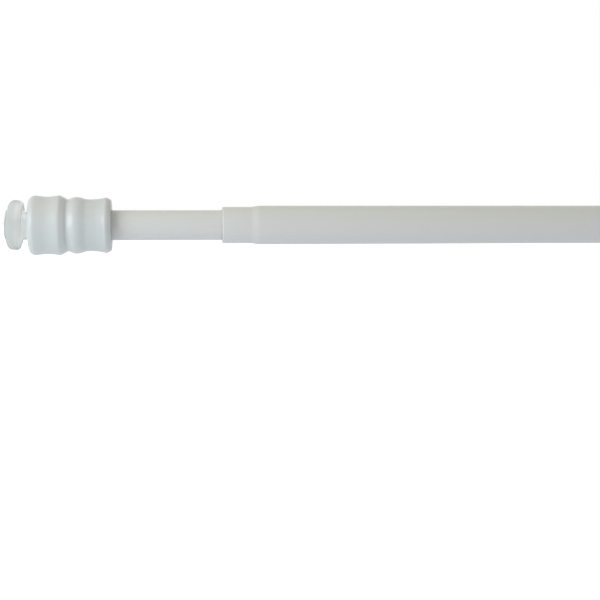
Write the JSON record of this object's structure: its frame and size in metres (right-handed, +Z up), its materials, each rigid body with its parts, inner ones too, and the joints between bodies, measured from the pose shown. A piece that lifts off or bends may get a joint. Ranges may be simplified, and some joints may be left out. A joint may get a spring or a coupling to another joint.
{
  "type": "spring tension rod",
  "caption": "Telescopic rod with waved end caps and soft foot pads, pressed between two facing walls by a spring inside to carry a light curtain.",
  "frame": {"origin": "centre of the left pad's front face, where the rod presses on the left wall", "axes": "+X along the rod to the right pad, +Z up"},
  "size_m": [0.4, 0.0198, 0.0198],
  "materials": {
    "coated_tube": "smooth satin coat, pale grey white",
    "white_cap": "glossy moulded, cool white",
    "clear_pad": "soft clear vinyl, slightly green and cloudy",
    "nylon": "natural nylon",
    "spring_steel": "bright drawn wire",
    "zinc_steel": "zinc plated"
  },
  "bodies": {
    "inner_rod": {"inner_foot_pad": "clear_pad", "inner_end_cap": "white_cap", "inner_tube": "coated_tube", "spring_stop": "nylon", "compression_spring": "spring_steel", "guide_bush": "nylon"},
    "lock_core": {"spring_seat": "nylon", "lock_shaft": "zinc_steel", "eccentric_core": "nylon", "shaft_washer": "zinc_steel"},
    "lock_ring": {"lock_ring": "nylon"},
    "outer_rod": {"outer_tube": "coated_tube", "outer_end_cap": "white_cap", "outer_foot_pad": "clear_pad"}
  },
  "joints": [
    {"name": "spring_travel", "type": "slide", "parent": "inner_rod", "child": "lock_core", "axis": [1, 0, 0], "range_m": [-0.025, 0], "stiffness_N_per_m": 1570, "springref_m": 0.005, "deforming": ["compression_spring"]},
    {"name": "lock_twist", "type": "hinge", "parent": "lock_core", "child": "lock_ring", "pos_m": [0.3242, 0, -0.0004], "axis": [1, 0, 0], "range_deg": [-32, 32]},
    {"name": "length", "type": "slide", "parent": "lock_ring", "child": "outer_rod", "axis": [1, 0, 0], "range_m": [-0.0114, 0.2]}
  ]
}
